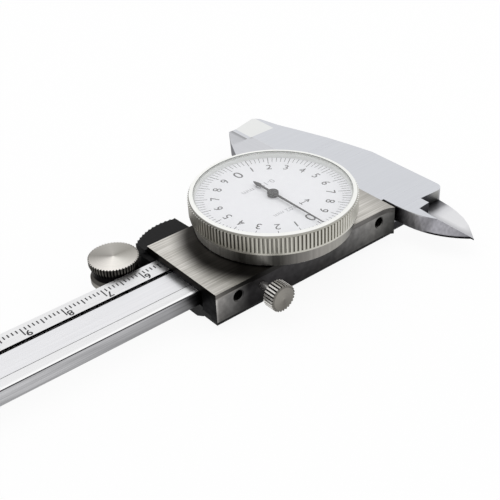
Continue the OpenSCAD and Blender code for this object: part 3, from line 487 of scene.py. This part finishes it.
# %% [markdown]
# The plate on top of the frame is stainless steel with a coarse brushed finish along the beam. Round
# the dial's case a dark disc is painted on it, a painted shadow and reflection of the case. How far a
# point is from the disc's centre tells the one from the other. The cut edges are painted dark too, as
# painted shade, and lighter only towards the plate's ends.

# %% Top plate
# Centre and radii of the painted shadow and reflection of the dial's case on the plate
CASE_SHADE_CENTRE = Vector((30.7, 9.8, 0)) * MM
CASE_SHADE_RADIUS = 17.2
CASE_SHADE_EDGE_RADIUS = 22.5
# What is kept of a direction to measure across an upright axis: x and y, but not z
ACROSS_UPRIGHT = (1, 1, 0)


def polar(tree, place, centre, across):
    """Gives the distance from an axis in mm and the angle round it in degrees."""
    about = add(tree, "ShaderNodeMapping", None, Vector=place.outputs["Object"],
                Location=[-c * kept for c, kept in zip(centre, across)], Scale=across).outputs[0]
    length = add(tree, "ShaderNodeVectorMath", {"operation": "LENGTH"}, _0=about).outputs["Value"]
    reach = add(tree, "ShaderNodeMath", {"operation": "DIVIDE"}, _0=length, _1=MM).outputs[0]
    offset = add(tree, "ShaderNodeSeparateXYZ", None, Vector=about).outputs
    radians = add(tree, "ShaderNodeMath", {"operation": "ARCTAN2"},
                  _0=offset["Y"] if across[1] else offset["Z"], _1=offset["X"]).outputs[0]
    return reach, add(tree, "ShaderNodeMath", {"operation": "DEGREES"}, _0=radians).outputs[0]


def plate_face_paint(tree, place, at, lines):
    reach = polar(tree, place, CASE_SHADE_CENTRE, ACROSS_UPRIGHT)[0]
    brushed = painted(tree, linear("#b5b2ab"), (linear("#e4e1dc"), (lines, *MIDDLE)))
    # Darker towards the plate's jaw end
    brushed = toned(tree, brushed, at["x"], 0, 6, 0.7, 1.0)
    # A dark disc round the case, a painted shadow and reflection of the case
    case_shade = toned(tree, linear("#343230")[:3], lines, *MIDDLE, 0.7, 1.4)
    clear = add(tree, "ShaderNodeMapRange", {"interpolation_type": "SMOOTHSTEP"},
                Value=reach, From_Min=CASE_SHADE_RADIUS, From_Max=CASE_SHADE_EDGE_RADIUS).outputs[0]
    return painted(tree, case_shade, (brushed, (clear, 0, 1)))


def plate_paint(tree, place, lines):
    at = whereabouts(tree, place)
    # The cut edges are painted dark under the dial, as painted shade, and lighter towards the ends
    edge = along(tree, at["x"], (1, "#4f4e4c"), (8, "#706e6c"), (30, "#4a4948"), (36, "#302f2e"),
                 (44, "#1b1a1a"), (48, "#302f2e"), (51, "#504e4c"), (54.1, "#6f6c69"))
    end = along(tree, at["y"], (-3.5, "#3e3b38"), (8, "#24211f"), (22, "#161514"))
    # A painted highlight along the edge's lower rim near the corner; the end face is painted dark, as
    # painted shade
    edge = painted(tree, edge,
                   (linear("#8d8a86"), (at["z"], 4.8, 4.65), (at["x"], 44, 50)),
                   (end, (at["look_x"], *FACING)))
    edge = toned(tree, edge, lines, *MIDDLE, 0.8, 1.2)
    return painted(tree, edge, (plate_face_paint(tree, place, at, lines), (at["level"], *FLAT)))


dress(lined_metal("coarse_brushed_stainless", plate_paint, 0.38, grain_mm=0.32, depth=0.35,
                  Specular_Tint=DULL_GRAZE), "top_plate")

# %% [markdown]
# Knurls are cut into the bezel, the roller and the lock screw's head, so that fingers get a grip.
# Their crests are worn bright, and the grooves hold shadow and a little grime. The ribs themselves
# are in the construction model, so the paint only has to tell a crest from a groove, by how far a
# point is from the piece's axis. The turned end faces have rings round the axis. A painted sheen lies
# on such a face in a bright sector and, more weakly, in the opposite one, so its colours are painted
# by the angle.

# %% Bezel
DIAL_CENTRE = Vector((25.7, 8.0, 0)) * MM
BEZEL_KNURL_RADII = (19.52, 19.88)
BEZEL_PLAIN_BAND_Z = (9.9, 9.7)
BEZEL_BORE_RADII = (18.8, 18.7)
RINGS_PER_MM = 4.0


def turned_face(tree, reach, angle, *stops):
    """Colours a turned face with a painted sheen by angle in degrees, and with fine rings."""
    rings = add(tree, "ShaderNodeTexNoise", {"noise_dimensions": "1D"},
                W=reach, Scale=RINGS_PER_MM, Detail=2.0)
    return toned(tree, along(tree, angle, *stops), rings.outputs["Fac"], *MIDDLE, 0.93, 1.05)


def bezel_paint(tree, place, lines):
    at = whereabouts(tree, place)
    reach, angle = polar(tree, place, DIAL_CENTRE, ACROSS_UPRIGHT)
    # Crests and grooves are painted lighter on one side and darker on the other, as painted light and
    # shade
    crest = along(tree, angle, (-180, "#b5b3aa"), (-60, "#aaa8a1"), (0, "#a3a19a"), (40, "#bbb9b0"),
                  (110, "#cfcdc5"), (180, "#b5b3aa"))
    groove = along(tree, angle, (-180, "#83817a"), (-60, "#66645f"), (0, "#605e59"), (40, "#85837c"),
                   (110, "#9b9991"), (180, "#83817a"))
    side = painted(tree, groove,
                   (crest, (reach, *BEZEL_KNURL_RADII)),
                   (crest, (at["z"], *BEZEL_PLAIN_BAND_Z)),
                   (linear("#74766f"), (reach, *BEZEL_BORE_RADII)))
    # The rim gets a painted sheen by the angle
    rim = turned_face(tree, reach, angle,
                      (-180, "#f4f5f2"), (-120, "#fafbf8"), (60, "#f6f6f3"), (180, "#f4f5f2"))
    return painted(tree, side, (rim, (at["level"], *FLAT)))


dress(lined_metal("satin_nickel_bezel", bezel_paint, 0.34, grain=ALONG_Z, grain_mm=0.4), "bezel")

# %% [markdown]
# The roller moves the slider by hand. It has a plain disc that rolls on the beam's edge, a narrower
# neck and a knurled head with a turned top. All of it is one turned piece, so the height of a point
# tells which part it belongs to.

# %% Thumb roller
ROLLER_CENTRE = Vector((61.9, -5.85, 0)) * MM
ROLLER_KNURL_RADII = (5.6, 5.85)
ROLLER_DISC_TOP_Z = (0.5, 0.8)
ROLLER_KNURL_Z = (1.2, 1.4)
ROLLER_TOP_Z = (3.0, 3.2)


def roller_paint(tree, place, lines):
    at = whereabouts(tree, place)
    reach, angle = polar(tree, place, ROLLER_CENTRE, ACROSS_UPRIGHT)
    knurl = painted(tree, linear("#0d0c0d"), (linear("#53514d"), (reach, *ROLLER_KNURL_RADII)))
    disc = painted(tree, linear("#75736e"), (linear("#9f9c96"), (lines, 0, 1)))
    # The turned top gets a painted sheen by the angle
    top = turned_face(tree, reach, angle, (-180, "#9e9b95"), (-115, "#b8b5b0"), (-45, "#9b9893"),
                      (0, "#d6d2cd"), (50, "#f8f4ee"), (90, "#ebe8e2"), (135, "#bebbb5"),
                      (180, "#9e9b95"))
    return painted(tree, disc,
                   # The sloping neck under the head is painted dark, as painted shade
                   (linear("#4a4845"), (at["level"], 0.2, 0.5), (at["z"], *ROLLER_DISC_TOP_Z)),
                   (knurl, (at["z"], *ROLLER_KNURL_Z)),
                   (top, (at["level"], *FLAT), (at["z"], *ROLLER_TOP_Z)))


dress(lined_metal("turned_and_knurled_roller", roller_paint, 0.34, grain=ALONG_Z,
                  Specular_Tint=DULL_GRAZE), "thumb_roller")

# %% [markdown]
# The lock screw holds the slider still. Its axis lies across the beam, so its distance and angle are
# measured in x and z. It was turned from bright bar, and the shank is painted brightest, partly as a
# painted highlight. The head's two ends are turned faces like the roller's, with a painted sheen.

# %% Lock screw
LOCK_CENTRE = Vector((41.3, 0, 2.52)) * MM
LOCK_SHANK_RADII = (1.2, 1.6)
LOCK_KNURL_RADII = (3.02, 3.26)
LOCK_END_FACING = (0.55, 0.8)
ACROSS_Y_AXIS = (1, 0, 1)


def lock_paint(tree, place, lines):
    at = whereabouts(tree, place)
    reach, angle = polar(tree, place, LOCK_CENTRE, ACROSS_Y_AXIS)
    # The shank is painted brightest, partly a painted highlight
    shank = painted(tree, linear("#d0cecb"), (linear("#f2f0ed"), (lines, 0, 1)))
    knurl = painted(tree, linear("#0b0b0b"), (linear("#d6d4d0"), (reach, *LOCK_KNURL_RADII)))
    end = turned_face(tree, reach, angle, (-180, "#7d7a75"), (-90, "#6b6863"), (0, "#88857f"),
                      (60, "#8e8b85"), (180, "#7d7a75"))
    return painted(tree, shank,
                   (knurl, (reach, *LOCK_SHANK_RADII)),
                   (end, (at["look_y"], *LOCK_END_FACING)),
                   (end, (at["look_y"], *[-limit for limit in LOCK_END_FACING])))


dress(lined_metal("turned_and_knurled_lock_screw", lock_paint, 0.34, grain=ALONG_Y), "lock_screw")

# %% [markdown]
# The dial sits in a die-cast case with a dark satin finish. Its side is painted lighter and darker
# round it by a ramp over the angle, a painted reflection of the room. A sprung ring of steel wire
# between case and bezel is hidden, and a plain two-toned steel is enough for it.

# %% Case and wire ring
def case_paint(tree, place, lines):
    angle = polar(tree, place, DIAL_CENTRE, ACROSS_UPRIGHT)[1]
    # A painted reflection of the room, lighter and darker round the side by the angle
    painted_room_sheen = along(tree, angle, (-180, "#6c6b68"), (-40, "#bebcb7"), (-20, "#dddbd6"), (0, "#e4e2dd"),
                 (15, "#b2b0ab"), (27, "#55534f"), (40, "#8e8c87"), (50, "#5a5956"), (60, "#5f5d5a"),
                 (80, "#918e8a"), (100, "#a09e98"), (130, "#5f5e5b"), (180, "#6c6b68"))
    return toned(tree, painted_room_sheen, lines, *MIDDLE, 0.88, 1.12)


dress(lined_metal("dark_satin_case", case_paint, 0.4, grain=ALONG_Z, grain_mm=0.5), "dial_case")
dress(lined_metal("drawn_spring_wire", two_tone("#8b8a88", "#b9b8b5"), 0.35, grain=RINGS), "bezel_ring")

# %% [markdown]
# The screws are turned from bar and blackened in hot oil, which leaves them nearly black with a dull
# shine and fine rings on their sides. The roller's own screw was left bright. One material serves
# all the black screws, because they come from the same bath.

# %% Screws
blackened = lined_metal("blackened_steel_screws", two_tone("#121213", "#2c2c2e"), 0.35,
                        grain=RINGS, depth=0.2)
dress(blackened, "gib_screws", "end_stop_screws", "back_cover_screws", "depth_rod_screws",
      "thumb_rest_screws", "case_screws", "bridge_screws")
dress(lined_metal("bright_turned_screw", two_tone("#a19e99", "#dedbd6"), 0.32, grain=RINGS),
      "roller_screw")

# %% [markdown]
# Inside the case runs a watch-like train: brass plates and wheels, a hard steel pinion and a spring
# ring that takes up the play. The gib that guides the slider is a strip of rolled bronze, dark with oil.
# None of it is seen with the case closed, but each piece still gets the finish it would have.

# %% Movement and gib
brass = lined_metal("machined_brass", two_tone("#b08a3c", "#d6b363"), 0.3, grain=RINGS)
dress(brass, "arbor_bush", "movement_base", "movement_pillars", "movement_bridge",
      "drive_arbor", "drive_wheel", "take_up_wheel")
dress(lined_metal("hard_steel_pinion", two_tone("#a9abb0", "#cfd1d5"), 0.25, grain=ALONG_Z),
      "centre_pinion", "take_up_spring")
dress(lined_metal("oiled_rolled_bronze", two_tone("#33271d", "#4d3b2a"), 0.35), "gib")

# %% [markdown]
# What isn't bare metal has a skin: tiny cells that break up the highlights. Black nylon takes a leathery
# skin of about 0.35 mm from its mould. The flat black of the needle is paint on thin steel. The dial is
# a steel disc under white baked enamel, whose surface waves very slightly, and the ring between dial
# and crystal is anodised, pale and a little grainy. One function makes all of these from two colours
# and the size of the cells.

# %% Plastic, paint and enamel
def coated(name, dark, light, roughness, skin_mm, depth, **extra):
    """Makes a plastic, paint or enamel with a skin whose cells are skin_mm wide."""
    material = bpy.data.materials.new(name)
    tree = fresh_tree(material)
    place = add(tree, "ShaderNodeTexCoord")
    noise = add(tree, "ShaderNodeTexNoise", None, Vector=place.outputs["Object"],
                Scale=1 / (skin_mm * MM), Detail=NOISE_DETAIL)
    skin = noise.outputs["Fac"]
    relief = add(tree, "ShaderNodeBump", None, Height=skin, Strength=depth, Distance=RELIEF)
    matt = add(tree, "ShaderNodeMapRange", None, Value=skin,
               To_Min=roughness * 0.85, To_Max=roughness * 1.15)
    body = add(tree, "ShaderNodeBsdfPrincipled", None,
               Base_Color=painted(tree, linear(dark), (linear(light), (skin, 0, 1))),
               Roughness=matt.outputs[0], Normal=relief.outputs[0], **extra)
    add(tree, "ShaderNodeOutputMaterial", None, Surface=body.outputs[0])
    return material


dress(coated("black_moulded_nylon", "#040405", "#0b0b0c", 0.65, 0.35, 0.25,
             IOR=1.53, Specular_IOR_Level=0.2), "thumb_rest", "back_cover")
dress(coated("matt_black_paint", "#08080a", "#121214", 0.55, 0.3, 0.1,
             IOR=1.5, Specular_IOR_Level=0.2), "needle")
dress(coated("white_baked_enamel", "#e9e9ed", "#eff0f3", 0.5, 1.5, 0.1, IOR=1.5), "dial_face")
dress(coated("pale_anodised_spacer", "#dfe1de", "#e7e9e6", 0.45, 0.6, 0.1, IOR=1.5), "crystal_spacer")

# %% [markdown]
# The crystal is a flat disc of clear acrylic. Its gloss is kept low, as on a dial that was
# photographed without a glare. Light for the dial below passes straight through it: a path tracer
# would otherwise need very many samples to bring light through glass.

# %% Crystal
crystal_clear = bpy.data.materials.new("clear_acrylic")
tree = fresh_tree(crystal_clear)
path = add(tree, "ShaderNodeLightPath")
acrylic = add(tree, "ShaderNodeBsdfPrincipled", None, Base_Color=(1, 1, 1, 1),
              Transmission_Weight=1.0, Roughness=0.0, IOR=1.49, Specular_IOR_Level=0.08)
through = add(tree, "ShaderNodeBsdfTransparent", None, Color=(1, 1, 1, 1))
for_light = add(tree, "ShaderNodeMath", {"operation": "MAXIMUM"},
                _0=path.outputs["Is Shadow Ray"], _1=path.outputs["Is Diffuse Ray"])
pane = add(tree, "ShaderNodeMixShader", None,
           Fac=for_light.outputs[0], _1=acrylic.outputs[0], _2=through.outputs[0])
add(tree, "ShaderNodeOutputMaterial", None, Surface=pane.outputs[0])
dress(crystal_clear, "crystal")

# %% [markdown]
# What is printed or engraved could be a picture on the surface, but it would blur close up. It is
# modelled instead, as very thin shapes that stand a hundredth of a millimetre proud. One line is made
# from a plane in edit mode: it is stretched to its width and length, its corners are rounded and it is
# given a thickness. Figures start as a text object, which already knows the outlines of digits.

# %% Shapes of lines and figures
INK_RISE = 0.012 * MM
CORNER_SHARE = 0.2


def line_shape(width, length):
    """Models one flat line that starts at the origin and runs along +Y."""
    bpy.ops.object.select_all(action="DESELECT")
    bpy.ops.mesh.primitive_plane_add(size=1, location=(0, 0, 0))
    line = bpy.context.object
    bpy.ops.object.mode_set(mode="EDIT")
    bpy.ops.mesh.select_all(action="SELECT")
    bpy.ops.transform.resize(value=(width, length, 1))
    bpy.ops.transform.translate(value=(0, length / 2, 0))
    bpy.ops.mesh.bevel(offset=width * CORNER_SHARE, segments=2, affect="VERTICES")
    bpy.ops.mesh.extrude_region_move(TRANSFORM_OT_translate={"value": (0, 0, INK_RISE)})
    bpy.ops.mesh.select_all(action="SELECT")
    bpy.ops.mesh.normals_make_consistent(inside=False)
    bpy.ops.object.mode_set(mode="OBJECT")
    return line


def figures_shape(words, size, weight=0.0):
    """Sets figures, centred on the origin, and makes them a mesh. Weight makes them bold."""
    bpy.ops.object.select_all(action="DESELECT")
    bpy.ops.object.text_add(location=(0, 0, 0))
    figures = bpy.context.object
    figures.data.body = words
    figures.data.size = size
    figures.data.offset = weight
    figures.data.align_x = "CENTER"
    figures.data.align_y = "CENTER"
    figures.data.resolution_u = 4
    figures.data.extrude = INK_RISE / 2
    bpy.ops.object.convert(target="MESH")
    return bpy.context.object


# %% [markdown]
# Each further line is a copy of such a mesh. Its place and its turn go into the mesh itself, so that
# the finished object sits at the origin, as the pieces of the construction model do. An array modifier
# could repeat a line too, but it would need one array for each length. At the end all copies are
# joined into one piece.

# %% Copies and the finished piece
def copied_to(shape, place, turned=0.0):
    """Copies a shape with a mesh of its own, turned about the upright axis and moved to its place."""
    copy = bpy.data.objects.new(shape.name, shape.data.copy())
    copy.data.transform(Matrix.Translation(place) @ Matrix.Rotation(turned, 4, "Z"))
    bpy.context.scene.collection.objects.link(copy)
    return copy


def joined(name, pieces, patterns, material, body):
    """Joins copies into one piece that rides with its body, and deletes the shapes they came from."""
    print(name, "is made of", len(pieces), "shapes")
    bpy.ops.object.select_all(action="DESELECT")
    for piece in pieces:
        piece.select_set(True)
    bpy.context.view_layer.objects.active = pieces[0]
    bpy.ops.object.join()
    whole = pieces[0]
    whole.name = name
    whole.data.name = name
    whole.data.materials.clear()
    whole.data.materials.append(material)
    for pattern in patterns:
        bpy.data.objects.remove(pattern)
    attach(whole, body)


# %% [markdown]
# The scale on the beam counts millimetres from the jaws' measuring plane. Every fifth line is a
# little longer, and every tenth is the longest and carries its number. They were engraved and filled
# with black. Only three lines are modelled, one of each length, and 151 copies are made of them.

# %% Lines of the scale
BEAM_FACE_Z = 3.7 * MM
SCALE_LENGTH = 150
LINES_START_Y = 1.25
LINE_WIDTH = 0.3
# The length of the line at each multiple of ten, five and one, longest step first
LINE_LENGTHS = {10: 2.7, 5: 1.8, 1: 1.15}
# Black filling of the engraved lines, also used for the seam's thin line, a painted shadow
engraving_and_seam_black = coated("black_engraving_and_painted_seam_shadow", "#121214", "#202023", 0.6, 0.2, 0.05, IOR=1.5)


def on_beam(x_mm, y_mm):
    return Vector((x_mm, y_mm, 0)) * MM + Vector((0, 0, BEAM_FACE_Z))


lines_by_step = {step: line_shape(LINE_WIDTH * MM, length * MM)
                 for step, length in LINE_LENGTHS.items()}
pieces = []
for mark in range(SCALE_LENGTH + 1):
    step = next(step for step in LINE_LENGTHS if mark % step == 0)
    pieces.append(copied_to(lines_by_step[step], on_beam(mark, LINES_START_Y)))
print("the scale has", len(pieces), "lines")

# %% [markdown]
# A number stands on the jaws' side of its line, beyond the ends of the short lines. It keeps about
# the same distance from its line with one digit or two, so its centre depends on how many it has.

# %% Numbers of the scale
NUMBER_SIZE = 2.7
NUMBER_WEIGHT = 0.05
NUMBER_GAP = 0.35
HALF_DIGIT = 0.6
NUMBER_Y = 3.65
numbers = []
for number in range(1, SCALE_LENGTH // 10 + 1):
    words = str(number)
    numbers.append(figures_shape(words, NUMBER_SIZE * MM, NUMBER_WEIGHT * MM))
    centre_x = number * 10 - NUMBER_GAP - HALF_DIGIT * len(words)
    pieces.append(copied_to(numbers[-1], on_beam(centre_x, NUMBER_Y)))
joined("scale", pieces, list(lines_by_step.values()) + numbers, engraving_and_seam_black, "beam_body")

# %% [markdown]
# The dial is printed with 100 divisions of 0.02 mm, so one turn of the needle stands for 2 mm. Each
# fifth division is longer and a little thicker. Spin could copy a line round the centre, but it keeps
# only one kind of line, so here each copy gets its own angle.

# %% Dial divisions
DIAL_FACE_Z = 12.35 * MM
DIAL_DIVISIONS = 100
OUTER_RADIUS = 18.1
# True is for each fifth division, and False for the others
INNER_RADIUS = {True: 15.3, False: 16.1}
DIVISION_WIDTH = {True: 0.15, False: 0.11}
ink = coated("black_printing_ink", "#1b1b1e", "#28282b", 0.6, 0.2, 0.05, IOR=1.5)


def on_dial(radius_mm, turned):
    place = DIAL_CENTRE + Matrix.Rotation(turned, 3, "Z") @ Vector((0, radius_mm * MM, 0))
    return Vector((place.x, place.y, DIAL_FACE_Z))


division = {fifth: line_shape(DIVISION_WIDTH[fifth] * MM, (OUTER_RADIUS - inner) * MM)
            for fifth, inner in INNER_RADIUS.items()}
pieces = []
for mark in range(DIAL_DIVISIONS):
    turned = -2 * math.pi * mark / DIAL_DIVISIONS
    fifth = mark % 5 == 0
    pieces.append(copied_to(division[fifth], on_dial(INNER_RADIUS[fifth], turned), turned))
print("the dial has", len(pieces), "divisions")

# %% [markdown]
# Tenths of a millimetre are numbered clockwise from zero, twice round, and each figure stands upright
# for someone who looks from the centre outwards. Both zeros are larger than the other figures.

# %% Dial figures
DIAL_FIGURES = 20
ZERO_SIZE = 4.2
ZERO_RADIUS = 12.8
FIGURE_SIZE = 3.1
FIGURE_RADIUS = 13.4
digits = [figures_shape(str(digit), (FIGURE_SIZE if digit else ZERO_SIZE) * MM) for digit in range(10)]
for figure in range(DIAL_FIGURES):
    turned = -2 * math.pi * figure / DIAL_FIGURES
    digit = figure % 10
    radius = FIGURE_RADIUS if digit else ZERO_RADIUS
    pieces.append(copied_to(digits[digit], on_dial(radius, turned), turned))
print("the dial has", DIAL_FIGURES, "figures")

# %% [markdown]
# Below the upper zero lies a small arrow: a shaft, two slanting barbs at its tip and a short bar
# across its tail. All four are lines of the kind that the divisions are made of.

# %% Dial arrow
UPPER_ROW = 7.1
BESIDE_MIDDLE = Vector((2.3, 0, 0)) * MM
SHAFT_LENGTH = 2.6
SHAFT_WIDTH = 0.2
BARB_LENGTH = 1.1
BARB_WIDTH = 0.24
arrow_shaft = line_shape(SHAFT_WIDTH * MM, SHAFT_LENGTH * MM)
arrow_barb = line_shape(BARB_WIDTH * MM, BARB_LENGTH * MM)
arrow_tail = on_dial(UPPER_ROW, 0) - BESIDE_MIDDLE
arrow_tip = arrow_tail - Vector((SHAFT_LENGTH, 0, 0)) * MM
pieces.append(copied_to(arrow_shaft, arrow_tail, math.radians(90)))
pieces.append(copied_to(arrow_barb, arrow_tip, math.radians(-60)))
pieces.append(copied_to(arrow_barb, arrow_tip, math.radians(-120)))
pieces.append(copied_to(arrow_barb, arrow_tail - Vector((0, BARB_LENGTH / 2, 0)) * MM))
patterns = list(division.values()) + digits + [arrow_shaft, arrow_barb]
joined("dial_print", pieces, patterns, ink, "bezel_body")

# %% [markdown]
# Two short lines of paler print give the value of a division and the measuring range. Grey ink is a
# material of its own, so this print is a piece of its own too.

# %% Small print
LOWER_ROW = -5.4
UNIT_SIZE = 1.9
RANGE_SIZE = 2.3
pale_ink = coated("grey_printing_ink", "#a2a2a6", "#acacb0", 0.6, 0.2, 0.05, IOR=1.5)
unit_words = figures_shape("0.02 mm", UNIT_SIZE * MM)
range_words = figures_shape("0-150 mm", RANGE_SIZE * MM)
pieces = [copied_to(unit_words, on_dial(UPPER_ROW, 0) + BESIDE_MIDDLE),
          copied_to(range_words, on_dial(LOWER_ROW, 0))]
joined("dial_small_print", pieces, [unit_words, range_words], pale_ink, "bezel_body")

# %% [markdown]
# The strip over the rack lies 0.3 mm below the beam's face. The step at its edge away from the scale
# shows as a fine dark line along the beam. The step's own shadow is too faint in soft light, so a thin
# line is laid along its rim.

# %% Seam line
SEAM_Y = 12.9
SEAM_END_X = 215.5
SEAM_LENGTH = 215
SEAM_WIDTH = 0.12
seam = line_shape(SEAM_WIDTH * MM, SEAM_LENGTH * MM)
along_beam = copied_to(seam, on_beam(SEAM_END_X, SEAM_Y), math.radians(90))
joined("strip_seam", [along_beam], [seam], engraving_and_seam_black, "beam_body")

# %% [markdown]
# The view is set to Standard, so that a colour is shown as written.

# %% Finish
bpy.context.scene.view_settings.view_transform = "Standard"
print("undressed nodes:", [name for name, node in nodes.items() if not node.data.materials])
